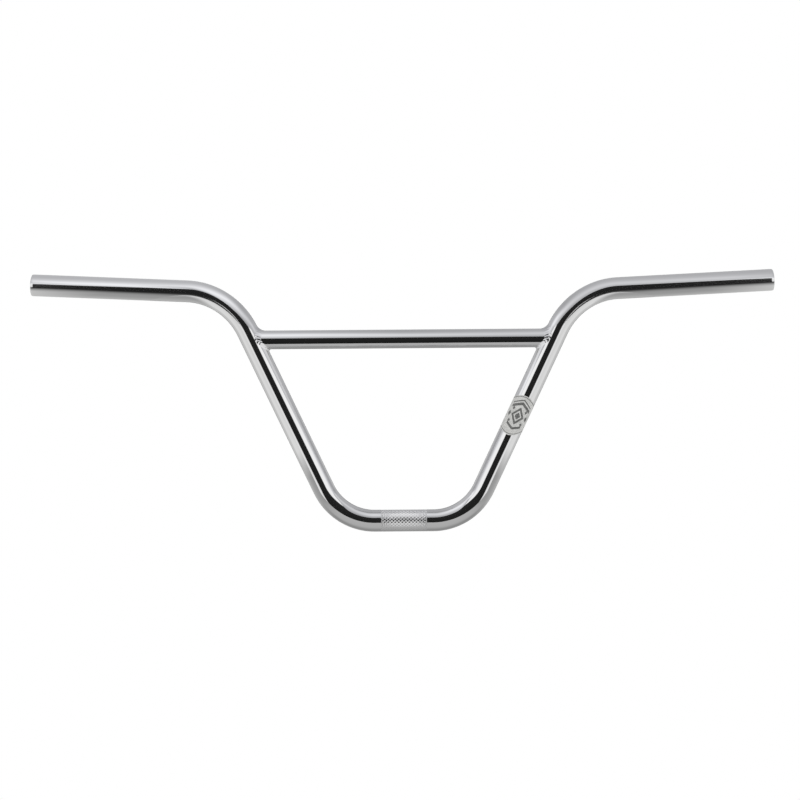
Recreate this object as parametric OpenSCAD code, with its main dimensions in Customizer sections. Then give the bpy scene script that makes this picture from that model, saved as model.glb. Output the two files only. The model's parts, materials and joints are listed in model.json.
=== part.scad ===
/* [Overall] */
// Width across the two open ends
bar_width = 762; // [660:1:920]
// Height of the ends' centres above the centre of the clamp seat
rise = 243.3; // [190:0.1:320]
// Angle that each grip sweeps back towards the rider
backsweep = 11; // [0:0.1:16]
// Angle that each grip climbs towards its end
upsweep = 2.7; // [0:0.1:5]

/* [Main tube] */
// Outside diameter of the main tube
tube_d = 22.2; // [18:0.1:27]
// Wall in the clamp seat and the lower bends
thick_wall = 1.7; // [1.3:0.1:2.6]
// Wall in the upper bends and the grips
thin_wall = 1.2; // [0.8:0.05:1.5]
// Length of each leg over which the wall tapers
taper_length = 60; // [20:1:110]
// Length of the straight clamp seat between the lower bends
seat_length = 59.6; // [44:0.2:90]
// Centreline radius of the lower bends
lower_bend_r = 57.4; // [40:0.2:72]
// Centreline radius of the upper bends
upper_bend_r = 72; // [50:0.5:88]
// Amount by which bending draws in the tube's two surfaces
bend_draw = 0.03; // [0.02:0.01:0.1]
// Lean of each leg away from vertical
leg_angle = 25.4; // [15:0.1:32]
// Radius that rounds the outer rim of each end
rim_r = 0.6; // [0.2:0.05:0.7]

/* [Crossbar] */
// Outside diameter of the crossbar
crossbar_d = 19.05; // [15:0.05:22.2]
// Wall of the crossbar
crossbar_wall = 1.1; // [0.8:0.05:2]
// Distance down the leg from the upper bend to the crossbar's axis
crossbar_drop = 9.8; // [9.8:0.1:60]
// Diameter of the vent drilled into each end of the crossbar
vent_d = 5; // [3:0.5:7]

/* [Welds] */
// Radius of each drop of the weld bead
bead_r = 4.4; // [3.6:0.1:5.2]
// Depth of the drops' centres below the corner that they fill
bead_sink = 2; // [1.6:0.1:2.4]
// Number of drops in the bead round one joint
bead_count = 34; // [28:1:40]

/* [Sticker] */
// Length of the sticker along the leg
sticker_length = 42; // [20:1:60]
// Distance up the leg from the lower bend to the sticker's middle
sticker_up = 82.8; // [40:0.2:110]
// Radius of the sticker's arched ends
sticker_arch_r = 32; // [16:1:60]
// Thickness of the sticker
sticker_t = 0.15; // [0.1:0.05:0.5]
// Thickness of the adhesive under the sticker
adhesive_t = 0.02; // [0.01:0.01:0.1]

/* [Hidden] */
$fn = 96;

rim_steps = 4;
ease = 2 * bend_draw;
ease_length = 0.5;
bend_lap = 1;
tube_r = tube_d / 2;
crossbar_r = crossbar_d / 2;

// Directions of the right leg and the right grip, and the leg's own sideways direction
leg_dir = [sin(leg_angle), 0, cos(leg_angle)];
leg_side = [cos(leg_angle), 0, -sin(leg_angle)];
grip_dir = [cos(upsweep) * cos(backsweep), cos(upsweep) * sin(backsweep), sin(upsweep)];

// Angles of the two bends, and the roll from the lower bend's plane to the upper one's
lower_turn = 90 - leg_angle;
upper_turn = acos(grip_dir * leg_dir);
roll = 180 + atan2(grip_dir.y, grip_dir * leg_side);
lower_tangent = lower_bend_r * tan(lower_turn / 2);
upper_tangent = upper_bend_r * tan(upper_turn / 2);

// The leg's line starts where it crosses the seat's axis, and ends where it crosses the grip's
end_x = bar_width / 2 - tube_r * sqrt(1 - pow(grip_dir.x, 2));
foot_x = seat_length / 2 + lower_tangent;
climb = grip_dir.z / grip_dir.x;
corner_z = (rise - (end_x - foot_x) * climb) / (1 - tan(leg_angle) * climb);
corner_x = foot_x + corner_z * tan(leg_angle);
leg_length = corner_z / cos(leg_angle) - lower_tangent - upper_tangent;
grip_length = (end_x - corner_x) / grip_dir.x - upper_tangent;

// The crossbar meets the leg's axis at this distance up the leg
joint_up = leg_length - crossbar_drop;
joint_z = (lower_tangent + joint_up) * cos(leg_angle);
joint_x = foot_x + joint_z * tan(leg_angle);
overrun = 20;

// Moves to the far end of a bend that starts along z and curves towards x
module past_bend(r, turn) {
    translate([r, 0, 0]) rotate([0, turn, 0]) translate([-r, 0, 0]) children();
}

// Moves to the start of the right leg, with z up the leg
module at_leg() {
    translate([seat_length / 2, 0, 0]) rotate([0, 90, 0]) rotate([0, 0, 180])
        past_bend(lower_bend_r, lower_turn) children();
}

// Moves to the start of the right upper bend, with x towards the bend's centre
module at_upper_bend() {
    at_leg() translate([0, 0, leg_length]) rotate([0, 0, roll]) children();
}

// A bent ring section that starts along z and curves towards x. It is drawn in by the bending,
// and laps into the straights at both ends.
module bend(bend_r, turn, wall) {
    lap_turn = bend_lap / bend_r * 180 / PI;
    translate([bend_r, 0, 0]) rotate([-90, 0, 0]) rotate([0, 0, 180 - lap_turn])
        rotate_extrude(angle = turn + 2 * lap_turn) translate([bend_r, 0]) difference() {
            circle(tube_r - bend_draw);
            circle(tube_r - wall + bend_draw);
        }
}

// The two corners of a straight's end, eased inside and outside down to the bend that follows
function eased_end(wall, z) = [[tube_r - ease, z], [tube_r - wall + ease, z]];
function eased_start(wall, z) = [[tube_r - wall + ease, z], [tube_r - ease, z]];

// The clamp seat, with both ends eased
module seat() {
    half = seat_length / 2;
    rotate([0, 90, 0]) rotate_extrude() polygon([
        each eased_start(thick_wall, -half),
        [tube_r, -half + ease_length],
        [tube_r, half - ease_length],
        each eased_end(thick_wall, half),
        [tube_r - thick_wall, half - ease_length],
        [tube_r - thick_wall, -half + ease_length],
    ]);
}

// The leg's section: full wall, then a long taper of the bore, then the thin wall
module leg() {
    taper_start = (leg_length - taper_length) / 3;
    rotate_extrude() polygon([
        each eased_start(thick_wall, 0),
        [tube_r, ease_length],
        [tube_r, leg_length - ease_length],
        each eased_end(thin_wall, leg_length),
        [tube_r - thin_wall, leg_length - ease_length],
        [tube_r - thin_wall, taper_start + taper_length],
        [tube_r - thick_wall, taper_start],
        [tube_r - thick_wall, ease_length],
    ]);
}

// The straight grip, with its rim rounded outside and its bore's edge broken
module grip() {
    inner_r = tube_r - thin_wall;
    bore_edge = min(rim_r, thin_wall - rim_r) / 2;
    rotate_extrude() polygon([
        each eased_start(thin_wall, 0),
        [tube_r, ease_length],
        for (i = [0:rim_steps])
            [
                tube_r - rim_r * (1 - cos(90 * i / rim_steps)),
                grip_length - rim_r * (1 - sin(90 * i / rim_steps))
            ],
        [inner_r + bore_edge, grip_length],
        [inner_r, grip_length - bore_edge],
        [inner_r, ease_length],
    ]);
}

module half_tube() {
    at_leg() leg();
    translate([seat_length / 2, 0, 0]) rotate([0, 90, 0]) rotate([0, 0, 180])
        bend(lower_bend_r, lower_turn, thick_wall);
    at_upper_bend() {
        bend(upper_bend_r, upper_turn, thin_wall);
        past_bend(upper_bend_r, upper_turn) grip();
    }
}

// The vent through the leg's inner wall, on the crossbar's axis
module vent() {
    translate([joint_x - 2 * tube_r, 0, joint_z]) rotate([0, 90, 0]) cylinder(h = 2 * tube_r, d = vent_d);
}

module main_tube() {
    color("silver") difference() {
        union() {
            seat();
            half_tube();
            mirror([1, 0, 0]) half_tube();
        }
        vent();
        mirror([1, 0, 0]) vent();
    }
}

// The right leg's outside, as a plain rod that runs past both ends of the leg
module leg_rod() {
    at_leg() translate([0, 0, -overrun]) cylinder(h = leg_length + 2 * overrun, r = tube_r);
}

module crossbar_rod(r, length) {
    translate([0, 0, joint_z]) rotate([0, 90, 0]) cylinder(h = length, r = r, center = true);
}

// The crossbar runs from one leg's axis to the other's, and both ends are coped to the legs
module crossbar() {
    color("silver") difference() {
        crossbar_rod(crossbar_r, 2 * joint_x);
        crossbar_rod(crossbar_r - crossbar_wall, 2 * joint_x + 1);
        leg_rod();
        mirror([1, 0, 0]) leg_rod();
    }
}

// Outward normal of the crossbar at an angle round it, then the leg's at a height along y
function crossbar_normal(t) = [0, cos(t), sin(t)];
function leg_normal(y) = -sqrt(1 - pow(y / tube_r, 2)) * leg_side + [0, y / tube_r, 0];

// The seam where the crossbar's surface meets the right leg's, at an angle round the crossbar
function seam(t) =
    let (y = crossbar_r * cos(t), up = crossbar_r * sin(t), side = sqrt(tube_r * tube_r - y * y))
    [joint_x + (up * sin(leg_angle) - side) / cos(leg_angle), y, joint_z + up];

function unit(v) = v / norm(v);
function drop_centre(t) =
    seam(t) - bead_sink * unit(crossbar_normal(t) + leg_normal(crossbar_r * cos(t)));

// A weld bead: a ring of drops along the seam, cleared of both tubes
module weld() {
    color("gainsboro") difference() {
        union() for (i = [0:bead_count - 1]) translate(drop_centre(360 * i / bead_count)) sphere(bead_r);
        leg_rod();
        crossbar_rod(crossbar_r, 2 * joint_x);
    }
}

module right_weld() {
    weld();
}

module left_weld() {
    mirror([1, 0, 0]) weld();
}

// The sticker wraps the front half of the right leg, and its two ends are arcs
module sticker() {
    skin_r = tube_r + adhesive_t;
    arch_shift = sticker_length / 2 - sticker_arch_r;
    color("gainsboro") at_leg() translate([0, 0, sticker_up]) intersection() {
        difference() {
            cylinder(h = sticker_length, r = skin_r + sticker_t, center = true);
            cylinder(h = sticker_length + 1, r = skin_r, center = true);
        }
        for (end = [-1, 1]) translate([0, 0, end * arch_shift]) rotate([-90, 0, 0])
            cylinder(h = 2 * tube_r, r = sticker_arch_r);
    }
}

main_tube();
crossbar();
left_weld();
right_weld();
sticker();
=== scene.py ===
import json
import math

import bpy
import numpy as np
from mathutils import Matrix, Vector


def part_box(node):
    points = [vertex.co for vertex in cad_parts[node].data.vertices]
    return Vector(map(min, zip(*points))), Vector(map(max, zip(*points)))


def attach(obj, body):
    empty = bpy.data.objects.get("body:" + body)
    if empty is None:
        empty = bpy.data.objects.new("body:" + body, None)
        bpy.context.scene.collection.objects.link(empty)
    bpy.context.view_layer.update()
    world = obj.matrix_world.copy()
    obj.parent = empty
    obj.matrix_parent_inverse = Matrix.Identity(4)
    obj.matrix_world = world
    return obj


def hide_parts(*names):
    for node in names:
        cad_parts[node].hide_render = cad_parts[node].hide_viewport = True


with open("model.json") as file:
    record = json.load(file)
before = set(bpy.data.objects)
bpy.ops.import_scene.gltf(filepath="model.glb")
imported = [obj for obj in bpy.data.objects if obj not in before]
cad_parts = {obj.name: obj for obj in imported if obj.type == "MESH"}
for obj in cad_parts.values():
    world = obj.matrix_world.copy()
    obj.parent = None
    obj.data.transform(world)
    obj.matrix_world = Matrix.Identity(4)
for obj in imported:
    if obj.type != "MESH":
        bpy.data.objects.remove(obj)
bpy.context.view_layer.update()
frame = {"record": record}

MM = 0.001
mounts = {m["name"]: m for m in frame["record"]["mounts"]}

# Driving sizes, in metres. Radii and the grips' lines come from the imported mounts.
TUBE_R = mounts["stem_clamp"]["dims"]["r_mm"] * MM
BORE_R = mounts["right_bar_end"]["dims"]["r_mm"] * MM
LEG_ANGLE = math.radians(25.4)
LOWER_BEND_R = 57.4 * MM
UPPER_BEND_R = 72 * MM
RIM_R = 0.6 * MM
BORE_EDGE = 0.3 * MM
CROSSBAR_WALL = 1.1 * MM

# Buffing rounds each end's last stretch a little, before the rim
NOSE_LENGTH = 2.6 * MM
NOSE_DROP = 0.12 * MM

# The knurl: two crossing sets of grooves round the middle of the clamp seat. Its finish is hazy, and dull
# on a narrow ring at each end.
KNURL_LENGTH = 46.6 * MM
KNURL_PITCH = 3.6 * MM
KNURL_STARTS = 22
KNURL_DEPTH = 0.25 * MM
KNURL_LAND = 2 / 3
KNURL_FADE = 0.8 * MM
KNURL_RING = 1.6 * MM
KNURL_HAZE = 0.04
RING_HAZE = 0.42
SAMPLES_PER_GROOVE = 12

# The weld beads. Top, front and bottom are how far a bead's toes lie from the corner that it fills.
DROPS = 22
SAMPLES_PER_DROP = 14
BEAD_STEPS = 14
BEAD_TOP = 6.2 * MM
BEAD_FRONT = 3.5 * MM
BEAD_BOTTOM = 3.2 * MM
BEAD_FILL = 0.6 * MM
BEAD_ROOT = 0.8 * MM
TOE_SINK = 0.06 * MM

# The ripples of a bead: their height, the seed of their uneven draws, how far their crests lag between
# the toes and stray from even steps, the least and the spread of their sizes, how quickly they die out
# at the toes, and how much calmer they are at the bead's top and bottom
BEAD_RIPPLE = 0.32 * MM
BEAD_SEED = 12
RIPPLE_LAG = 1.3
RIPPLE_STRAY = 0.9
RIPPLE_LEAST = 0.55
RIPPLE_SPREAD = 0.9
RIPPLE_END = 0.7
RIPPLE_CALM = 0.7

# The sticker: its ends are arcs of different bulge, and the lower one leans
STICKER_LENGTH = 42 * MM
STICKER_UP = 82.8 * MM
STICKER_TOP = 20.2 * MM
STICKER_TOP_BULGE = 0.040 / MM
STICKER_BOTTOM = -23.2 * MM
STICKER_BOTTOM_BULGE = 0.050 / MM
STICKER_LEAN = 0.17
STICKER_LIFT = 0.02 * MM
STICKER_THICK = 0.15 * MM

# Steps round and along the pieces. The crossbar's rings are placed by shares of the way to its ends.
AROUND = KNURL_STARTS * SAMPLES_PER_GROOVE
BEND_STEPS = 22
BORE_BEND_STEPS = 8
RIM_STEPS = 6
NOSE_STEPS = 4
CROSSBAR_AROUND = 192
CROSSBAR_RINGS = (-1, -0.5, 0, 0.5, 1)
CROSSBAR_BORE_RINGS = (1, 0, -1)
STICKER_AROUND = 97
STICKER_RINGS = 61

# Edges that turn more than this are drawn sharp
SHARP_EDGE = math.radians(50)
KNURL_SHARP_EDGE = math.radians(20)

X, Y, Z = np.eye(3)
MIRROR = np.array([-1, 1, 1])


def unit(v):
    """v divided by its length, along the last axis."""
    v = np.asarray(v, float)
    return v / np.linalg.norm(v, axis=-1, keepdims=True)


def turned(v, axis, angles):
    """v turned about a unit axis by each angle: v cos + (axis x v) sin + axis (axis . v) (1 - cos)."""
    c = np.cos(angles)[:, None]
    s = np.sin(angles)[:, None]
    return v * c + np.cross(axis, v) * s + axis * np.dot(axis, v) * (1 - c)


# Centreline of the right half: the leg's line and the grip's meet at the corner, and the leg's line meets
# the seat's at the foot. Each bend starts and ends a tangent's length from the point where its lines meet.
LEG = np.array([math.sin(LEG_ANGLE), 0, math.cos(LEG_ANGLE)])
GRIP = unit(mounts["right_grip"]["axis"])
grip_middle = np.array(mounts["right_grip"]["pos_m"], float)
corner = grip_middle - GRIP * grip_middle[1] / GRIP[1]
lower_turn = math.pi / 2 - LEG_ANGLE
upper_turn = math.acos(float(GRIP @ LEG))
lower_tangent = LOWER_BEND_R * math.tan(lower_turn / 2)
upper_tangent = UPPER_BEND_R * math.tan(upper_turn / 2)
foot = np.array([corner[0] - corner[2] * math.tan(LEG_ANGLE), 0, 0])
seat_half = foot[0] - lower_tangent
grip_end = grip_middle + GRIP * (mounts["right_grip"]["dims"]["length_mm"] / 2 * MM + RIM_R)

crossbar_low, crossbar_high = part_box("crossbar")
CROSSBAR_R = (crossbar_high[2] - crossbar_low[2]) / 2
JOINT_Z = (crossbar_high[2] + crossbar_low[2]) / 2
JOINT = foot + LEG * JOINT_Z / LEG[2]


class Path:
    """A tube's centreline as arrays: points, and two unit vectors square to it that its rings use."""

    def __init__(self, points, first, second):
        self.points, self.first, self.second = points, first, second

    def ring(self, radii, angles):
        """point + r (cos a first + sin a second), for every station and every angle."""
        out = np.cos(angles)[None, :, None] * self.first[:, None]
        out = out + np.sin(angles)[None, :, None] * self.second[:, None]
        return self.points[:, None] + np.broadcast_to(radii, out.shape[:2])[..., None] * out

    def straight(self, radii, angles):
        """The same rings as if the tube had never been bent: length along it, r cos a, r sin a."""
        steps = np.linalg.norm(np.diff(self.points, axis=0), axis=1)
        along = np.concatenate([[0], np.cumsum(steps)])
        along = along - along[-1] / 2
        radii = np.broadcast_to(radii, (len(along), len(angles)))
        return np.stack([np.broadcast_to(along[:, None], radii.shape),
                         radii * np.cos(angles), radii * np.sin(angles)], -1)

    def mirrored(self):
        """The same stations on the other side of the middle plane, in reverse order."""
        return Path(*(a[::-1] * MIRROR for a in (self.points, self.first, self.second)))

    def joined(self, other):
        """This path, then the other one."""
        pairs = ((self.points, other.points), (self.first, other.first), (self.second, other.second))
        return Path(*(np.concatenate(p) for p in pairs))

    def part(self, keep):
        """Only the stations asked for, in the order asked for."""
        return Path(self.points[keep], self.first[keep], self.second[keep])


def half_path(seat_stations, bend_steps):
    """Right half of the centreline: seat stations, lower bend, leg, upper bend and grip.
    A bend turns its start about the bend's centre, by even steps of its angle."""
    count = len(seat_stations)
    seat = Path(seat_stations[:, None] * X, np.tile(-Y, (count, 1)), np.tile(-Z, (count, 1)))
    start = seat_half * X
    pieces = [seat]
    direction, first, second = X, -Y, -Z
    for radius, turn, toward in ((LOWER_BEND_R, lower_turn, LEG), (UPPER_BEND_R, upper_turn, GRIP)):
        axis = unit(np.cross(direction, toward))
        inward = np.cross(axis, direction)
        centre = start + radius * inward
        angles = np.linspace(0, turn, bend_steps + 1)
        pieces.append(Path(centre + turned(-radius * inward, axis, angles),
                           turned(first, axis, angles), turned(second, axis, angles)))
        direction, first, second = toward, pieces[-1].first[-1], pieces[-1].second[-1]
        start = corner - LEG * upper_tangent
    pieces.append(Path(grip_end[None], first[None], second[None]))
    path = pieces[0]
    for piece in pieces[1:]:
        path = path.joined(piece)
    return path


def whole_path(seat_stations, bend_steps):
    """Left end to right end. The seat's stations are given from its middle to its right end."""
    right = half_path(seat_stations, bend_steps)
    left = right.mirrored()
    return left.part(slice(0, -1)).joined(right)


def wave(phase):
    """A flat-topped ridge with straight sides, once each turn of the phase: 1 on its land, and 0 at the
    bottom of the groove, at half a turn."""
    return np.minimum(1, np.abs(1 - 2 * (phase % 1)) / (1 - KNURL_LAND))


def knurl_relief(x, angles):
    """Depth under the tube's surface: the deeper of two crossing sets of helical grooves. Their phases are
    x / pitch + starts angle / turn and x / pitch - starts angle / turn. At both ends of the knurl the depth
    fades to nothing by the smooth step 3 e^2 - 2 e^3 of e, the share of the way in."""
    along = x[:, None] / KNURL_PITCH
    around = KNURL_STARTS * angles[None, :] / (2 * np.pi)
    ridge = np.minimum(wave(along + around), wave(along - around))
    edge = np.clip((KNURL_LENGTH / 2 - np.abs(x)) / KNURL_FADE, 0, 1)[:, None]
    return KNURL_DEPTH * (1 - ridge) * edge * edge * (3 - 2 * edge)


def split_along_folds(x, angles):
    """For each cell of the knurl's grid, whether the second diagonal lies closer to the relief than the
    first: the depth halfway along each diagonal is compared with that in the middle of the cell."""
    depth = knurl_relief(x, angles)
    middle = knurl_relief((x[1:] + x[:-1]) / 2, angles + np.pi / len(angles))
    beside = np.roll(depth, -1, axis=1)
    first = np.abs(depth[:-1] + beside[1:] - 2 * middle)
    second = np.abs(beside[:-1] + depth[1:] - 2 * middle)
    return second < first - 1e-9


def triangles(quads, other):
    """Two triangles for each quad, split along its other diagonal where asked."""
    a, b, c, d = quads.T
    one = np.where(other[:, None], np.stack([a, b, d], -1), np.stack([a, b, c], -1))
    two = np.where(other[:, None], np.stack([b, c, d], -1), np.stack([a, c, d], -1))
    return np.stack([one, two], 1).reshape(-1, 3)


def grid_faces(rows, columns, wrap_rows=True, wrap_columns=True):
    """Quads of a grid of rows x columns points, each direction closed on itself where asked."""
    i = np.arange(rows if wrap_rows else rows - 1)
    j = np.arange(columns if wrap_columns else columns - 1)
    i, j = np.meshgrid(i, j, indexing="ij")
    down, right = (i + 1) % rows, (j + 1) % columns
    quads = np.stack([i * columns + j, i * columns + right, down * columns + right, down * columns + j], -1)
    return quads.reshape(-1, 4)


def make_piece(name, points, straight, faces, node_name, materials, sharp=SHARP_EDGE):
    """A smooth mesh object from arrays. It rides on the one body and stands for a CAD node. Its attribute
    "straight" gives each point's place on the metal as if it were a straight rod along x."""
    mesh = bpy.data.meshes.new(name)
    mesh.vertices.add(len(points))
    mesh.vertices.foreach_set("co", np.ascontiguousarray(points, np.float32).ravel())
    mesh.loops.add(faces.size)
    mesh.loops.foreach_set("vertex_index", faces.astype(np.int32).ravel())
    mesh.polygons.add(len(faces))
    mesh.polygons.foreach_set("loop_start", np.arange(0, faces.size, faces.shape[1], dtype=np.int32))
    mesh.update(calc_edges=True)
    mesh.validate()
    mesh.polygons.foreach_set("use_smooth", np.ones(len(mesh.polygons), bool))
    mesh.set_sharp_from_angle(angle=sharp)
    place = mesh.attributes.new("straight", "FLOAT_VECTOR", "POINT")
    place.data.foreach_set("vector", np.ascontiguousarray(straight, np.float32).ravel())
    for material in materials:
        mesh.materials.append(material)
    piece = bpy.data.objects.new(name, mesh)
    bpy.context.scene.collection.objects.link(piece)
    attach(piece, "root")
    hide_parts(node_name)
    return piece


def new_material(name):
    """A material, its node tree and its Principled shader."""
    material = bpy.data.materials.new(name)
    material.use_nodes = True
    tree = material.node_tree
    shader = next(n for n in tree.nodes if n.type == "BSDF_PRINCIPLED")
    return material, tree, shader


def node(tree, kind, **inputs):
    """A new node. Inputs are numbers, colours or sockets, by the socket's name or by _0, _1 and so on."""
    made = tree.nodes.new(kind)
    for key, value in inputs.items():
        socket = made.inputs[int(key[1:])] if key[1:].isdigit() else made.inputs[key]
        if isinstance(value, bpy.types.NodeSocket):
            tree.links.new(value, socket)
        else:
            socket.default_value = value
    return made


def maths(tree, operation, *values):
    """The value of a Math node."""
    made = node(tree, "ShaderNodeMath", **{f"_{i}": v for i, v in enumerate(values)})
    made.operation = operation
    return made.outputs[0]


def ramp(tree, factor, low, high, stops):
    """Greys or colours by a value that runs from low to high. Stops are (value, grey or colour)."""
    share = node(tree, "ShaderNodeMapRange", _0=factor, _1=low, _2=high)
    made = node(tree, "ShaderNodeValToRGB", _0=share.outputs[0])
    points = made.color_ramp.elements
    while len(points) < len(stops):
        points.new(0.5)
    for point, (value, colour) in zip(points, stops):
        point.position = (value - low) / (high - low)
        point.color = (*colour, 1) if isinstance(colour, tuple) else (colour, colour, colour, 1)
    return made.outputs[0]


def blend(tree, share, a, b, kind="MIX"):
    """Colour a, mixed with or multiplied by colour b by a share."""
    made = tree.nodes.new("ShaderNodeMix")
    made.data_type, made.blend_type = "RGBA", kind
    for socket, value in zip((made.inputs[0], made.inputs[6], made.inputs[7]), (share, a, b)):
        if isinstance(value, bpy.types.NodeSocket):
            tree.links.new(value, socket)
        else:
            socket.default_value = value
    return made.outputs[2]


def steel_finish():
    """The finish that all the bare and plated steel shares. From a place on the straightened metal it works
    out a colour with faint clouds, a roughness with clouds and rubbed streaks along the metal, and a height
    with a gentle waviness from the drawing and fine polishing lines round the metal."""
    group = bpy.data.node_groups.new("steel_finish", "ShaderNodeTree")
    inputs = [("Place", "NodeSocketVector", None), ("Tint", "NodeSocketColor", (0.87, 0.87, 0.87, 1)),
              ("Haze", "NodeSocketFloat", 0.05), ("Streaks", "NodeSocketFloat", 0.02),
              ("Clouding", "NodeSocketFloat", 0.04), ("Grain", "NodeSocketFloat", 0.3)]
    for name, kind, value in inputs:
        made = group.interface.new_socket(name, in_out="INPUT", socket_type=kind)
        if value is not None:
            made.default_value = value
    for name, kind in (("Color", "NodeSocketColor"), ("Roughness", "NodeSocketFloat"),
                       ("Height", "NodeSocketFloat")):
        group.interface.new_socket(name, in_out="OUTPUT", socket_type=kind)
    given = group.nodes.new("NodeGroupInput").outputs
    clouds = node(group, "ShaderNodeTexNoise", Vector=given["Place"], Scale=28.0, Detail=4.0).outputs[0]
    pulled = node(group, "ShaderNodeMapping", Vector=given["Place"], Scale=(20, 900, 900)).outputs[0]
    streaks = node(group, "ShaderNodeTexNoise", Vector=pulled, Scale=1.0, Detail=3.0).outputs[0]
    squashed = node(group, "ShaderNodeMapping", Vector=given["Place"], Scale=(2600, 60, 60)).outputs[0]
    lines = node(group, "ShaderNodeTexNoise", Vector=squashed, Scale=1.0, Detail=2.0).outputs[0]
    waviness = node(group, "ShaderNodeTexNoise", Vector=given["Place"], Scale=110.0, Detail=1.0).outputs[0]
    shade = maths(group, "SUBTRACT", 1.0, maths(group, "MULTIPLY", given["Clouding"], clouds))
    colour = blend(group, 1.0, given["Tint"], shade, "MULTIPLY")
    uneven = [maths(group, "SUBTRACT", noise, 0.5) for noise in (clouds, streaks)]
    uneven = maths(group, "ADD", *uneven)
    rough = maths(group, "MULTIPLY_ADD", uneven, given["Streaks"], given["Haze"])
    height = maths(group, "MULTIPLY_ADD", lines, given["Grain"], waviness)
    result = group.nodes.new("NodeGroupOutput")
    for name, value in (("Color", colour), ("Roughness", rough), ("Height", height)):
        group.links.new(value, result.inputs[name])
    return group


def steel(name, relief, **values):
    """A metal with the shared finish. Relief is how far its bump stands, in metres."""
    material, tree, shader = new_material(name)
    shader.inputs["Metallic"].default_value = 1
    place = node(tree, "ShaderNodeAttribute")
    place.attribute_name = "straight"
    finish = tree.nodes.new("ShaderNodeGroup")
    finish.node_tree = FINISH
    tree.links.new(place.outputs["Vector"], finish.inputs["Place"])
    for key, value in values.items():
        finish.inputs[key].default_value = value
    bump = node(tree, "ShaderNodeBump", Strength=1.0, Distance=relief, Height=finish.outputs["Height"])
    tree.links.new(finish.outputs["Color"], shader.inputs["Base Color"])
    tree.links.new(finish.outputs["Roughness"], shader.inputs["Roughness"])
    tree.links.new(bump.outputs[0], shader.inputs["Normal"])
    return material, tree, shader, place.outputs["Vector"], finish


def plated_tube():
    """Tube chrome, hazier on the knurl and dull on a narrow ring at each end of it. The haze is a ramp by
    the distance from the seat's middle along the tube."""
    material, tree, shader, place, finish = steel("tube_chrome", 3e-6, Tint=CHROME)
    along = maths(tree, "ABSOLUTE", node(tree, "ShaderNodeSeparateXYZ", _0=place).outputs[0])
    half = KNURL_LENGTH / 2
    haze = ramp(tree, along, 0.0, half + KNURL_RING,
                [(half - KNURL_RING, KNURL_HAZE), (half - 0.6 * KNURL_RING, RING_HAZE),
                 (half, RING_HAZE), (half + 0.2 * MM, 0.0)])
    tree.links.new(maths(tree, "ADD", finish.outputs["Roughness"], haze), shader.inputs["Roughness"])
    return material


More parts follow.
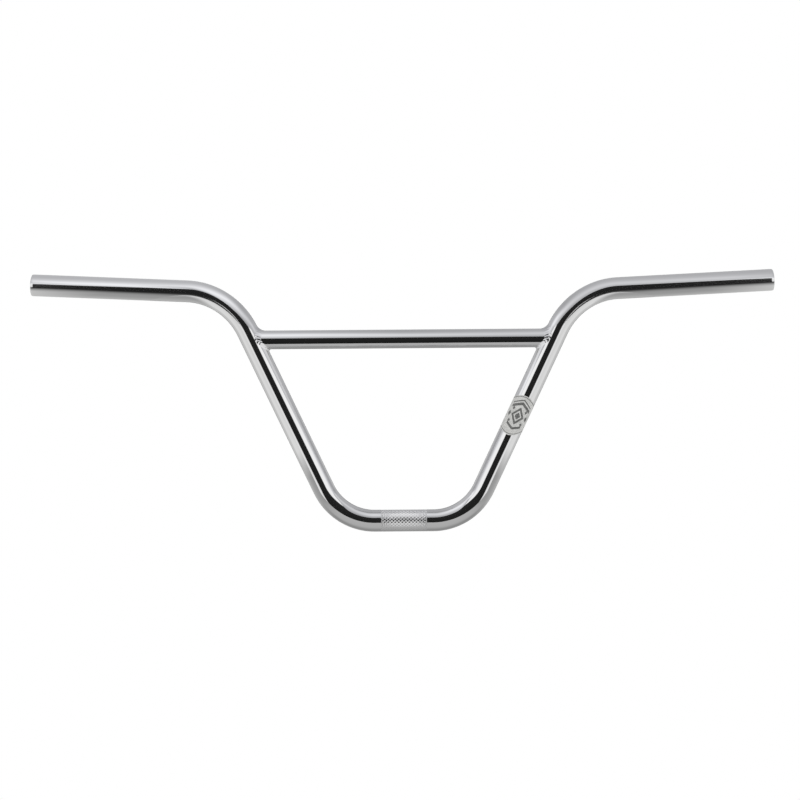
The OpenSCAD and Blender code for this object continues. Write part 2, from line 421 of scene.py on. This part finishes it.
def printed_film():
    """Silver film with a dark print: an outlined diamond round a filled one, small diamonds beside it, and
    chevrons above and below. A dark line along both arched ends is partly a printed border and partly
    painted shade of the film's cut edge. Lengths are in millimetres round and up the leg, read from the
    piece's own map."""
    material, tree, shader = new_material("sticker_film")
    place = node(tree, "ShaderNodeUVMap")
    place.uv_map = "film"
    u, v, _ = node(tree, "ShaderNodeSeparateXYZ", _0=place.outputs[0]).outputs
    across = maths(tree, "MULTIPLY", maths(tree, "SUBTRACT", u, 0.5), STICKER_LENGTH / MM)
    up = maths(tree, "MULTIPLY", maths(tree, "SUBTRACT", v, 0.5), STICKER_LENGTH / MM)

    def off(value, centre, half):
        """How far a value is from a centre, in halves of a motif's size."""
        return maths(tree, "DIVIDE", maths(tree, "ABSOLUTE", maths(tree, "SUBTRACT", value, centre)), half)

    def inside(value, limit=1.0):
        """1 where a value is under its limit, and 0 elsewhere."""
        return maths(tree, "LESS_THAN", value, limit)

    def both(a, b):
        """1 where both masks are 1."""
        return maths(tree, "MULTIPLY", a, b)

    def diamond(x, y, half_wide, half_tall):
        """Distance from a diamond's centre, which is 1 all along its outline."""
        return maths(tree, "ADD", off(across, x, half_wide), off(up, y, half_tall))

    big = diamond(0.0, PRINT_CENTRE, *BIG_DIAMOND)
    marks = [both(inside(big), maths(tree, "GREATER_THAN", big, OUTLINE_FROM)), inside(big, FILLED_UP_TO)]
    marks += [inside(diamond(*small)) for small in SMALL_DIAMONDS]
    slope = maths(tree, "MULTIPLY", maths(tree, "ABSOLUTE", across), CHEVRON_SLOPE)
    over = both(inside(off(across, 0.0, UPPER_HALF_WIDE)), maths(tree, "GREATER_THAN", up, PRINT_CENTRE))
    under = both(inside(off(across, 0.0, LOWER_HALF_WIDE)), maths(tree, "LESS_THAN", up, PRINT_CENTRE))
    rise = maths(tree, "ADD", up, slope)
    fall = maths(tree, "SUBTRACT", up, slope)
    marks += [both(over, inside(off(rise, *chevron))) for chevron in UPPER_CHEVRONS]
    marks.append(both(under, inside(off(fall, *LOWER_CHEVRON))))
    # A dark line near both ends: partly the printed border, partly painted shade of the film's cut edge
    edge = node(tree, "ShaderNodeAttribute")
    edge.attribute_name = "edge"
    marks.append(inside(off(edge.outputs["Fac"], BORDER_AND_SHADE_IN, BORDER_AND_SHADE_HALF)))
    print_mask = marks[0]
    for mark in marks[1:]:
        print_mask = maths(tree, "MAXIMUM", print_mask, mark)
    thin = node(tree, "ShaderNodeTexNoise", Vector=place.outputs[0], Scale=60.0, Detail=3.0).outputs[0]
    worn = node(tree, "ShaderNodeMapRange", _0=thin, _1=0.35, _2=0.65, _3=0.66, _4=1.0).outputs[0]
    cover = both(print_mask, worn)
    clouds = node(tree, "ShaderNodeTexNoise", Vector=place.outputs[0], Scale=7.0, Detail=5.0).outputs[0]
    film = ramp(tree, clouds, 0.3, 0.7, [(0.3, FILM_DARK), (0.7, FILM_LIGHT)])
    tree.links.new(blend(tree, cover, film, INK), shader.inputs["Base Color"])
    rough = node(tree, "ShaderNodeMapRange", _0=cover, _1=0.0, _2=1.0, _3=0.42, _4=0.55).outputs[0]
    tree.links.new(rough, shader.inputs["Roughness"])
    grain = node(tree, "ShaderNodeTexNoise", Vector=place.outputs[0], Scale=220.0, Detail=2.0).outputs[0]
    height = maths(tree, "MULTIPLY_ADD", print_mask, 2.0, grain)
    bump = node(tree, "ShaderNodeBump", Strength=1.0, Distance=6e-6, Height=height)
    tree.links.new(bump.outputs[0], shader.inputs["Normal"])
    return material


# Colours
CHROME = (0.87, 0.87, 0.875, 1)
WELD_CHROME = (0.84, 0.84, 0.85, 1)
BARE_STEEL = (0.34, 0.33, 0.32, 1)
FILM_LIGHT = (0.72, 0.72, 0.70)
FILM_DARK = (0.56, 0.56, 0.545)
INK = (0.05, 0.05, 0.05, 1)

# The print, in millimetres from the sticker's middle. A diamond has its centre and its half width and half
# height, and a chevron has its peak's height and half its thickness. Ink fills the big diamond out to one
# share of its size, and its outline from another.
PRINT_CENTRE = -2.0
BIG_DIAMOND = (7.0, 9.5)
OUTLINE_FROM = 0.64
FILLED_UP_TO = 0.42
SMALL_DIAMONDS = [(x, PRINT_CENTRE, 2.0, 3.2) for x in (-10.0, 10.0)]
SMALL_DIAMONDS += [(x, y, 1.5, 2.2) for x in (-7.0, 7.0) for y in (-9.0, 4.5)]
CHEVRON_SLOPE = 0.55
UPPER_CHEVRONS = ((11.8, 1.5), (15.6, 0.7))
UPPER_HALF_WIDE = 10.5
LOWER_CHEVRON = (-15.8, 1.3)
LOWER_HALF_WIDE = 8.0

# The dark line's distance from the sticker's ends, and half its width, in metres. The line is partly a
# printed border and partly painted shade of the film's cut edge.
BORDER_AND_SHADE_IN = 1.4 * MM
BORDER_AND_SHADE_HALF = 0.35 * MM

FINISH = steel_finish()
tube_chrome = plated_tube()
crossbar_chrome = steel("crossbar_chrome", 3e-6, Tint=CHROME)[0]
weld_chrome = steel("weld_chrome", 2e-5, Tint=WELD_CHROME, Haze=0.08, Streaks=0.05, Grain=0.1)[0]
bore_steel = steel("bore_steel", 2e-5, Tint=BARE_STEEL, Haze=0.42, Streaks=0.2, Clouding=0.5, Grain=1.0)[0]
sticker_print = printed_film()


def main_tube():
    """One closed surface: the outer skin from left end to right end, round the right rim into the bore,
    back to the left end and round the left rim. Near each end the skin drops by NOSE_DROP times the square
    of the way along the nose, the rim is a quarter circle of radius RIM_R, and a cone of BORE_EDGE leads
    into the bore."""
    angles = np.linspace(0, 2 * np.pi, AROUND, endpoint=False)
    count = math.ceil(KNURL_LENGTH / 2 / KNURL_PITCH * SAMPLES_PER_GROOVE)
    x = np.linspace(0, KNURL_LENGTH / 2, count + 1)
    outer = whole_path(x, BEND_STEPS)
    seat = slice((len(outer.points) - 1) // 2 - count, (len(outer.points) - 1) // 2 + count + 1)
    x = outer.points[seat, 0]
    radii = np.full((len(outer.points), AROUND), TUBE_R)
    radii[seat] -= knurl_relief(x, angles)

    def end(path, station, outward, radius, ahead):
        """Rings that run on past a path's last station, each of its own radius."""
        ends = path.part(np.full(len(radius), station))
        ends.points = ends.points + np.asarray(ahead)[:, None] * outward
        return ends, np.broadcast_to(np.asarray(radius)[:, None], (len(radius), AROUND))

    nose = np.linspace(0, 1, NOSE_STEPS + 1)
    turn = np.linspace(0, np.pi / 2, RIM_STEPS + 1)[1:]
    rim_radius = np.concatenate([TUBE_R - NOSE_DROP * nose ** 2,
                                 TUBE_R - NOSE_DROP - RIM_R * (1 - np.cos(turn)), [BORE_R + BORE_EDGE]])
    rim_ahead = np.concatenate([NOSE_LENGTH * (nose - 1), RIM_R * np.sin(turn), [RIM_R]]) - RIM_R
    inner = whole_path(np.array([0]), BORE_BEND_STEPS)
    inner.points[-1] -= GRIP * BORE_EDGE
    inner.points[0] -= GRIP * MIRROR * BORE_EDGE
    bore = Path(inner.points[::-1], inner.first[::-1], inner.second[::-1])
    right_end = end(outer, -1, GRIP, rim_radius, rim_ahead)
    left_end = end(outer, 0, GRIP * MIRROR, rim_radius[::-1], rim_ahead[::-1])
    skin = outer.part(slice(1, -1)), radii[1:-1]
    around = np.full((len(bore.points), AROUND), BORE_R)

    outside = left_end[0].joined(skin[0]).joined(right_end[0])
    outside_radii = np.concatenate([left_end[1], skin[1], right_end[1]])
    rings = np.concatenate([outside.ring(outside_radii, angles), bore.ring(around, angles)])
    straight = np.concatenate([outside.straight(outside_radii, angles),
                               bore.straight(around, angles) * MIRROR])
    quads = grid_faces(len(rings), AROUND)
    other = np.zeros((len(rings), AROUND), bool)
    first_knurl = len(left_end[1]) + seat.start - 1
    other[first_knurl:first_knurl + len(x) - 1] = split_along_folds(x, angles)
    piece = make_piece("main_tube_chrome", rings.reshape(-1, 3), straight.reshape(-1, 3),
                       triangles(quads, other.ravel()), "main_tube",
                       [tube_chrome, bore_steel], KNURL_SHARP_EDGE)
    inside = np.zeros((len(rings), AROUND, 2), np.int32)
    inside[len(outside.points) - 1:] = 1
    piece.data.polygons.foreach_set("material_index", inside.ravel())
    return piece


def seam_x(y, up):
    """Where the crossbar's line at (y, up) meets the right leg, which is a cylinder of radius r:
    joint + (up sin(lean) - sqrt(r^2 - y^2)) / cos(lean)."""
    return JOINT[0] + (up * math.sin(LEG_ANGLE) - np.sqrt(TUBE_R ** 2 - y ** 2)) / math.cos(LEG_ANGLE)


def crossbar():
    """A closed tube along x with coped ends: each point of an end ring lies on the leg, and the rings
    between have a share of its x."""
    angles = np.linspace(0, 2 * np.pi, CROSSBAR_AROUND, endpoint=False)
    bore_r = CROSSBAR_R - CROSSBAR_WALL
    rings = []
    for radius, shares in ((CROSSBAR_R, CROSSBAR_RINGS), (bore_r, CROSSBAR_BORE_RINGS)):
        y, up = radius * np.cos(angles), radius * np.sin(angles)
        reach = seam_x(y, up)
        for share in shares:
            rings.append(np.stack([share * reach, y, JOINT_Z + up], -1))
    rings = np.array(rings)
    faces = grid_faces(len(rings), len(angles))
    points = rings.reshape(-1, 3)
    return make_piece("crossbar_chrome", points, points - JOINT_Z * Z, faces[:, ::-1],
                      "crossbar", [crossbar_chrome])


def leg_point(round_, along, radius):
    """A point of a cylinder round the right leg: round_ is an arc length from the side that faces the
    crossbar, along is up the leg from the joint: joint + along leg + r (sin a y - cos a side)."""
    a = round_ / TUBE_R
    side = np.array([math.cos(LEG_ANGLE), 0, -math.sin(LEG_ANGLE)])
    return JOINT + along[..., None] * LEG + radius * (np.sin(a)[..., None] * Y - np.cos(a)[..., None] * side)


def weld_bead(name, node_name, side):
    """A closed ring round the crossbar's end. Its section is a curve with three poles: the toe on the
    crossbar, the corner of the seam pushed out by BEAD_FILL, and the toe on the leg. Both toes sink
    TOE_SINK into the metal. Their distance from the corner is BEAD_TOP at the top, BEAD_FRONT in front and
    BEAD_BOTTOM at the bottom, by a quadratic in the height. Ripples, one for each drop, lift the middle of
    the section by BEAD_RIPPLE (|cos(phase)| - 0.5) sin(pi across)^RIPPLE_END, times their size. The phase
    lags by RIPPLE_LAG sin(pi across) and strays, and size and straying are drawn for each drop."""
    turn = np.linspace(0, 2 * np.pi, DROPS * SAMPLES_PER_DROP, endpoint=False)
    y, up = CROSSBAR_R * np.cos(turn), CROSSBAR_R * np.sin(turn)
    corner_points = np.stack([seam_x(y, up), y, JOINT_Z + up], -1)
    bar_normal = np.stack([0 * turn, np.cos(turn), np.sin(turn)], -1)
    round_ = TUBE_R * np.arcsin(y / TUBE_R)
    along = (corner_points - JOINT) @ LEG
    centre_along = 0.5 * (along.max() + along.min())
    tangent = np.stack([np.roll(v, -1) - np.roll(v, 1) for v in (round_, along)], -1)
    outward = unit(np.stack([tangent[:, 1], -tangent[:, 0]], -1))
    outward *= np.sign((outward * np.stack([round_, along - centre_along], -1)).sum(-1))[:, None]
    height = np.sin(turn)
    width = BEAD_FRONT + (BEAD_TOP - BEAD_BOTTOM) / 2 * height
    width = width + ((BEAD_TOP + BEAD_BOTTOM) / 2 - BEAD_FRONT) * height ** 2
    leg_toe_round, leg_toe_along = (np.stack([round_, along], -1) + width[:, None] * outward).T
    leg_toe = leg_point(leg_toe_round, leg_toe_along, TUBE_R - TOE_SINK)
    leg_normal = unit(leg_point(round_, along, TUBE_R) - leg_point(round_, along, 0))
    bar_toe = corner_points - width[:, None] * X - TOE_SINK * bar_normal
    middle = unit(bar_normal + leg_normal)
    across = np.linspace(0, 1, BEAD_STEPS + 1)[:, None, None]
    pole = corner_points + BEAD_FILL * middle
    section = (1 - across) ** 2 * bar_toe + 2 * across * (1 - across) * pole + across ** 2 * leg_toe
    uneven = np.random.default_rng(BEAD_SEED + side)
    drop, drops = turn * DROPS / (2 * np.pi), np.arange(DROPS + 1)
    stray = RIPPLE_STRAY * np.interp(drop, drops, np.resize(uneven.random(DROPS), DROPS + 1))
    sizes = RIPPLE_LEAST + RIPPLE_SPREAD * uneven.random(DROPS)
    size = np.interp(drop, drops, np.resize(sizes, DROPS + 1))
    arch = np.sin(np.pi * across[..., 0])
    phase = turn * DROPS / 2 + stray + RIPPLE_LAG * arch
    ripple = BEAD_RIPPLE * (np.abs(np.cos(phase)) - 0.5) * arch ** RIPPLE_END
    ripple = ripple * size * (1 - RIPPLE_CALM * np.abs(height))
    section = section + ripple[..., None] * middle
    under = corner_points - BEAD_ROOT * middle
    rings = np.concatenate([section, under[None]])
    onto_side = np.array([side, 1, 1])
    points = rings.transpose(1, 0, 2).reshape(-1, 3) * onto_side
    faces = grid_faces(len(turn), len(rings))
    if side > 0:
        faces = faces[:, ::-1]
    return make_piece(name, points, points - JOINT * onto_side, faces, node_name,
                      [weld_chrome])


def sticker():
    """A thin shell on the front half of the right leg. Round the leg it runs from -90 to 90 degrees. With w
    as the way across the leg, seen from the front, its upper end is at top - bulge w^2 and its lower end at
    bottom + lean w + bulge w^2. Front face, back face and a strip round the rim close it."""
    side = np.array([math.cos(LEG_ANGLE), 0, -math.sin(LEG_ANGLE)])
    middle = foot + LEG * (lower_tangent + STICKER_UP)
    a = np.linspace(-np.pi / 2, np.pi / 2, STICKER_AROUND)
    w = TUBE_R * np.sin(a)
    top = STICKER_TOP - STICKER_TOP_BULGE * w ** 2
    bottom = STICKER_BOTTOM + STICKER_LEAN * w + STICKER_BOTTOM_BULGE * w ** 2
    share = np.linspace(0, 1, STICKER_RINGS)
    climb = bottom[:, None] + (top - bottom)[:, None] * share[None, :]
    out = (np.sin(a)[:, None] * side - np.cos(a)[:, None] * Y)[:, None]
    spine = middle + climb[..., None] * LEG
    front = spine + (TUBE_R + STICKER_LIFT + STICKER_THICK) * out
    back = spine + (TUBE_R + STICKER_LIFT) * out
    index = np.arange(climb.size).reshape(climb.shape)
    rim = np.concatenate([index[:-1, 0], index[-1, :-1], index[:0:-1, -1], index[0, :0:-1]])
    after = np.roll(rim, -1)
    strip = np.stack([rim, rim + climb.size, after + climb.size, after], -1)
    sheet = grid_faces(*climb.shape, False, False)
    faces = np.concatenate([sheet[:, ::-1], sheet + climb.size, strip[:, ::-1]])
    points = np.concatenate([front.reshape(-1, 3), back.reshape(-1, 3)])
    piece = make_piece("sticker_film", points, points - middle, faces, "sticker",
                       [sticker_print])
    near = np.minimum(climb - bottom[:, None], top[:, None] - climb)
    edge = piece.data.attributes.new("edge", "FLOAT", "POINT")
    edge.data.foreach_set("value", np.tile(near.ravel(), 2).astype(np.float32))
    # The print's own map: arc length round the leg and height up it, as shares of the sticker's length
    arc = np.broadcast_to((TUBE_R * a)[:, None], climb.shape)
    flat = np.tile(np.stack([arc, climb], -1).reshape(-1, 2), (2, 1)) / STICKER_LENGTH + 0.5
    loops = np.zeros(len(piece.data.loops), np.int32)
    piece.data.loops.foreach_get("vertex_index", loops)
    uv = piece.data.uv_layers.new(name="film")
    uv.data.foreach_set("uv", flat[loops].astype(np.float32).ravel())
    return piece


main_tube()
crossbar()
weld_bead("right_weld_bead", "right_weld", 1)
weld_bead("left_weld_bead", "left_weld", -1)
sticker()

# Camera: straight in front of the bar, far away, with a long lens. The photo is tilted a little.
CAMERA_DISTANCE = 12
CAMERA_X = -3.26 * MM
CAMERA_Z = 123.03 * MM
CAMERA_ROLL = math.radians(0.43)
PIXEL_SIZE = 1.0206 * MM
VIEW_WIDTH = 800 * PIXEL_SIZE
SENSOR_WIDTH = 36
camera_data = bpy.data.cameras.new("camera")
camera_data.sensor_width = SENSOR_WIDTH
camera_data.lens = SENSOR_WIDTH * CAMERA_DISTANCE / VIEW_WIDTH
camera_data.clip_end = 50
camera = bpy.data.objects.new("camera", camera_data)
bpy.context.scene.collection.objects.link(camera)
camera.location = (CAMERA_X, -CAMERA_DISTANCE, CAMERA_Z)
camera.rotation_euler = (math.pi / 2, CAMERA_ROLL, 0)
bpy.context.scene.camera = camera


# Studio world: the greys of the two openings and of the light on dull surfaces, the tent's light by the
# angle from straight in front, how much wider its front opening is by the direction's height, and the
# share of the light by that height
FRONT_DARK = 0.018
REAR_DARK = 0.10
FILL = 0.62
TENT = [(0, FRONT_DARK), (0.425, FRONT_DARK), (0.455, 1), (1.75, 1), (2.0, 0.62), (2.70, 0.62),
        (2.80, REAR_DARK), (math.pi, REAR_DARK)]
WIDEN = [(-0.45, 0.13), (-0.2, 0.02), (0.0, 0.02), (0.12, 0.0), (0.2, 0.0), (0.45, 0.12)]
WALLS = [(-1, 0.45), (-0.4, 0.84), (0.05, 0.85), (0.2, 1.0), (1, 1.0)]

# Cards: their heights and tints, how far they reach at the sides, in front and behind, and their columns
UPPER_CARD_Z = 0.395
LOWER_CARD_Z = -0.081
GRIP_CARD_Z = 0.15
UPPER_TINT = (0.985, 0.99, 1.02)
LOWER_TINT = (1.0, 1.0, 0.993)
CARD_SIDE = 1.2
CARD_FRONT = -1.2
CARD_BACK = 0.8
CARD_COLUMNS = 97
GRIP_CARD_SIDES = (0.27, 0.85)

# The floor, and the distances from its middle at which it starts to turn white and is all white
FLOOR_Z = -0.36
FLOOR_HALF = 3.0
FLOOR_NEAR = 0.55
FLOOR_FAR = 1.3
FLOOR_PAINT = (0.93, 0.93, 0.93, 1)
WHITE = (1, 1, 1, 1)

# Lamps: name, place and power
LAMPS = [("key_lamp", (-1.3, -1.8, 1.9), 16), ("fill_lamp", (1.6, -0.6, 1.7), 9),
         ("back_lamp", (0.3, 1.9, 1.5), 7)]
LAMP_SIZE = 1.6
LAMP_AIM_Z = 0.1


def studio_world():
    """White for the camera and through glass, an even grey light for dull surfaces, and for polished metal a
    bright tent that is open in front and behind, where it is dark. Its light goes by the angle from straight
    in front, less what WIDEN gives for the height, so the front opening is wider for steep directions."""
    world = bpy.data.worlds.new("studio")
    bpy.context.scene.world = world
    world.use_nodes = True
    tree = world.node_tree
    tree.nodes.clear()
    direction = node(tree, "ShaderNodeTexCoord").outputs["Generated"]
    x, y, z = node(tree, "ShaderNodeSeparateXYZ", _0=direction).outputs
    around = maths(tree, "ARCTAN2", maths(tree, "ABSOLUTE", x), maths(tree, "MULTIPLY", y, -1.0))
    around = maths(tree, "SUBTRACT", around, ramp(tree, z, -1, 1, WIDEN))
    tent = ramp(tree, around, 0, math.pi, TENT)
    walls = ramp(tree, z, -1, 1, WALLS)
    lit = node(tree, "ShaderNodeBackground", Color=blend(tree, 1.0, tent, walls, "MULTIPLY"))
    white = node(tree, "ShaderNodeBackground", Color=WHITE)
    fill = node(tree, "ShaderNodeBackground", Color=(FILL, FILL, FILL, 1))
    path = node(tree, "ShaderNodeLightPath").outputs
    dull = node(tree, "ShaderNodeMixShader", _0=path["Is Glossy Ray"], _1=fill.outputs[0], _2=lit.outputs[0])
    seen = maths(tree, "MAXIMUM", path["Is Camera Ray"], path["Is Transmission Ray"])
    final = node(tree, "ShaderNodeMixShader", _0=seen, _1=dull.outputs[0], _2=white.outputs[0])
    node(tree, "ShaderNodeOutputWorld", Surface=final.outputs[0])


def stage_object(name, points, faces, material):
    """An object that belongs to the studio and not to the bar."""
    mesh = bpy.data.meshes.new(name)
    mesh.from_pydata(points.tolist(), [], faces.tolist())
    mesh.materials.append(material)
    made = bpy.data.objects.new(name, mesh)
    bpy.context.scene.collection.objects.link(made)
    return made


def card(name, height, front, bands, tint, left=-CARD_SIDE, right=CARD_SIDE):
    """A flat glowing card that only polished metal sees. Its front edge is at y = front(x). Its light is a
    ramp by y at each of several x, blended from one to the next."""
    x = np.linspace(left, right, CARD_COLUMNS)
    y = np.stack([front(x), np.full(len(x), CARD_BACK)], 1)
    points = np.stack([np.broadcast_to(x[:, None], y.shape), y, np.full(y.shape, height)], -1)
    material = bpy.data.materials.new(name)
    material.use_nodes = True
    tree = material.node_tree
    tree.nodes.clear()
    place = node(tree, "ShaderNodeTexCoord").outputs["Object"]
    px, py, _ = node(tree, "ShaderNodeSeparateXYZ", _0=place).outputs
    light = ramp(tree, py, CARD_FRONT, CARD_BACK, bands[0][1])
    for (before, _), (after, stops) in zip(bands, bands[1:]):
        share = node(tree, "ShaderNodeMapRange", _0=px, _1=before, _2=after).outputs[0]
        light = blend(tree, share, light, ramp(tree, py, CARD_FRONT, CARD_BACK, stops))
    glow = node(tree, "ShaderNodeEmission", Color=blend(tree, 1.0, light, (*tint, 1), "MULTIPLY"))
    node(tree, "ShaderNodeOutputMaterial", Surface=glow.outputs[0])
    made = stage_object(name, points.reshape(-1, 3), grid_faces(len(x), 2, False, False), material)
    made.visible_camera = made.visible_diffuse = made.visible_shadow = False


def studio_floor():
    """A pale floor below the bar. It takes the lamps' soft shadow near the middle and turns to plain white
    further out, by the distance from the middle, so that no edge shows. It is clear from below, and
    polished metal sees the cards instead."""
    material = bpy.data.materials.new("studio_floor")
    material.use_nodes = True
    tree = material.node_tree
    tree.nodes.clear()
    place = node(tree, "ShaderNodeTexCoord").outputs["Object"]
    px, py, _ = node(tree, "ShaderNodeSeparateXYZ", _0=place).outputs
    squares = [maths(tree, "MULTIPLY", p, p) for p in (px, py)]
    radius = maths(tree, "SQRT", maths(tree, "ADD", *squares))
    far = node(tree, "ShaderNodeMapRange", _0=radius, _1=FLOOR_NEAR, _2=FLOOR_FAR).outputs[0]
    path = node(tree, "ShaderNodeLightPath").outputs
    seen = maths(tree, "MAXIMUM", path["Is Camera Ray"], path["Is Transmission Ray"])
    paint = node(tree, "ShaderNodeBsdfDiffuse", Color=FLOOR_PAINT)
    white = node(tree, "ShaderNodeEmission", Color=WHITE)
    near = node(tree, "ShaderNodeMixShader", _0=maths(tree, "MULTIPLY", far, seen), _1=paint.outputs[0],
                _2=white.outputs[0])
    clear = node(tree, "ShaderNodeBsdfTransparent")
    behind = node(tree, "ShaderNodeNewGeometry").outputs["Backfacing"]
    final = node(tree, "ShaderNodeMixShader", _0=behind, _1=near.outputs[0], _2=clear.outputs[0])
    node(tree, "ShaderNodeOutputMaterial", Surface=final.outputs[0])
    corners = np.array([[-1, -1], [1, -1], [1, 1], [-1, 1]]) * FLOOR_HALF
    points = np.column_stack([corners, np.full(len(corners), FLOOR_Z)])
    floor = stage_object("studio_floor", points, np.array([[0, 1, 2, 3]]), material)
    floor.visible_glossy = False


def soft_lamp(name, place, power):
    """A square area lamp that faces the bar and isn't seen itself."""
    data = bpy.data.lights.new(name, "AREA")
    data.size = LAMP_SIZE
    data.energy = power
    lamp = bpy.data.objects.new(name, data)
    bpy.context.scene.collection.objects.link(lamp)
    lamp.location = place
    x, y, z = place
    lamp.rotation_euler = (math.atan2(math.hypot(x, y), z - LAMP_AIM_Z), 0, math.atan2(y, x) + math.pi / 2)
    lamp.visible_camera = lamp.visible_glossy = False


# A card's light by y, as (y, grey). Each list serves one stretch of the bar, named from the front: the
# legs, the grips, the upper bends, and the crossbar with the seat. Above and below say which card.
LEG_ABOVE = [(-1.2, 0.93), (-0.8, 0.95), (-0.53, 0.97), (-0.32, 0.85), (-0.15, 0.58), (0.02, 0.42),
             (0.22, 0.38), (0.55, 0.48), (0.8, 0.5)]
LEFT_GRIP_ABOVE = [(-1.2, 0.62), (-0.35, 0.70), (-0.26, 0.88), (-0.18, 1.0), (-0.13, 1.0), (-0.10, 0.94),
                   (-0.06, 0.80), (-0.02, 0.67), (0.02, 0.58), (0.07, 0.53), (0.17, 0.54), (0.8, 0.5)]
LEFT_BEND_ABOVE = [(-1.2, 0.20), (-0.37, 0.24), (-0.23, 0.50), (-0.15, 0.74), (-0.10, 0.88), (-0.06, 0.76),
                   (-0.02, 0.65), (0.02, 0.57), (0.07, 0.53), (0.17, 0.54), (0.8, 0.5)]
LEFT_BAR_ABOVE = [(-1.2, 0.50), (-0.5, 0.52), (-0.35, 0.66), (-0.217, 0.86), (-0.13, 1.0), (-0.066, 0.80),
                  (0.0, 0.57), (0.066, 0.49), (0.2, 0.47), (0.8, 0.47)]
BAR_ABOVE = [(-1.2, 0.42), (-0.55, 0.44), (-0.4, 0.55), (-0.26, 0.77), (-0.16, 0.78), (-0.09, 0.62),
             (-0.03, 0.49), (0.035, 0.42), (0.1, 0.42), (0.8, 0.45)]
RIGHT_BAR_ABOVE = [(-1.2, 0.40), (-0.5, 0.43), (-0.35, 0.55), (-0.217, 0.68), (-0.13, 0.70), (-0.066, 0.60),
                   (0.0, 0.49), (0.066, 0.45), (0.2, 0.45), (0.8, 0.45)]
RIGHT_GRIP_ABOVE = [(-1.2, 0.50), (-0.35, 0.50), (-0.22, 0.57), (-0.15, 0.69), (-0.10, 0.71), (-0.06, 0.66),
                    (-0.02, 0.57), (0.02, 0.53), (0.07, 0.49), (0.17, 0.49), (0.8, 0.45)]
BAR_BELOW = [(-1.2, 0.48), (-0.2, 0.50), (-0.03, 0.46), (0.0, 0.37), (0.03, 0.27), (0.08, 0.33), (0.3, 0.30),
             (0.8, 0.30)]
GRIP_BELOW = [(-1.2, 0.29), (-0.33, 0.29), (-0.24, 0.32), (-0.15, 0.35), (-0.08, 0.36), (0.0, 0.39),
              (0.11, 0.44), (0.27, 0.50), (0.8, 0.50)]
LEG_BELOW = [(-1.2, 0.70), (-0.30, 0.76), (-0.16, 0.80), (0.05, 0.80), (0.15, 0.62), (0.8, 0.56)]

# The same for the small cards under the grips, at each grip's inner part and towards its tip
GRIP_SIDE = [(-1.2, FRONT_DARK), (-0.17, FRONT_DARK), (-0.12, 0.05), (-0.08, 0.18), (-0.05, 0.29),
             (-0.02, 0.35), (0.01, 0.36), (0.05, 0.43), (0.10, 0.50), (0.8, 0.5)]
TIP_SIDE = [(-1.2, FRONT_DARK), (-0.17, FRONT_DARK), (-0.11, 0.12), (-0.07, 0.28), (-0.03, 0.48),
            (0.0, 0.64), (0.04, 0.67), (0.10, 0.64), (0.8, 0.6)]

# Where along x each list holds. Between two of them their light is blended.
UPPER_BANDS = [(-0.52, LEG_ABOVE), (-0.43, LEFT_GRIP_ABOVE), (-0.36, LEFT_GRIP_ABOVE),
               (-0.30, LEFT_BEND_ABOVE), (-0.20, LEFT_GRIP_ABOVE), (-0.10, LEFT_BAR_ABOVE),
               (0.0, BAR_ABOVE), (0.10, RIGHT_BAR_ABOVE), (0.20, RIGHT_GRIP_ABOVE),
               (0.40, RIGHT_GRIP_ABOVE), (0.50, LEG_ABOVE)]
LOWER_BANDS = [(-0.42, LEG_BELOW), (-0.35, GRIP_BELOW), (-0.22, GRIP_BELOW), (-0.13, BAR_BELOW),
               (0.13, BAR_BELOW), (0.22, GRIP_BELOW), (0.35, GRIP_BELOW), (0.42, LEG_BELOW)]
GRIP_SIDE_AT = 0.34
TIP_SIDE_AT = 0.42

# The cards' front edges
UPPER_FRONT_X = [-0.55, -0.40, -0.29, -0.15, 0.15, 0.29, 0.50, 0.62]
UPPER_FRONT_Y = [-0.46, -0.34, -0.32, -0.66, -0.66, -0.31, -0.33, -0.46]
LOWER_FRONT = -0.2
LOWER_FRONT_BEND = 0.3
LOWER_FRONT_SLOPE = 0.95
LOWER_FRONT_BOW = 0.1


def upper_front(x):
    """Straight stretches between the chosen points."""
    return np.interp(x, UPPER_FRONT_X, UPPER_FRONT_Y)


def lower_front(x):
    """front - slope (|x| - bend) - bow x^2, without the middle term where |x| is less than the bend."""
    past_bend = np.maximum(np.abs(x) - LOWER_FRONT_BEND, 0)
    return LOWER_FRONT - LOWER_FRONT_SLOPE * past_bend - LOWER_FRONT_BOW * x ** 2


def level_front(x):
    """The same y all along."""
    return 0 * x + LOWER_FRONT


studio_world()
card("upper_card", UPPER_CARD_Z, upper_front, UPPER_BANDS, UPPER_TINT)
card("lower_card", LOWER_CARD_Z, lower_front, LOWER_BANDS, LOWER_TINT)
for name, side in (("left_grip_card", -1), ("right_grip_card", 1)):
    grip_bands = [(side * GRIP_SIDE_AT, GRIP_SIDE), (side * TIP_SIDE_AT, TIP_SIDE)]
    left, right = sorted(side * end for end in GRIP_CARD_SIDES)
    card(name, GRIP_CARD_Z, level_front, grip_bands, LOWER_TINT, left, right)
studio_floor()
for name, place, power in LAMPS:
    soft_lamp(name, place, power)
bpy.context.scene.view_settings.view_transform = "Standard"
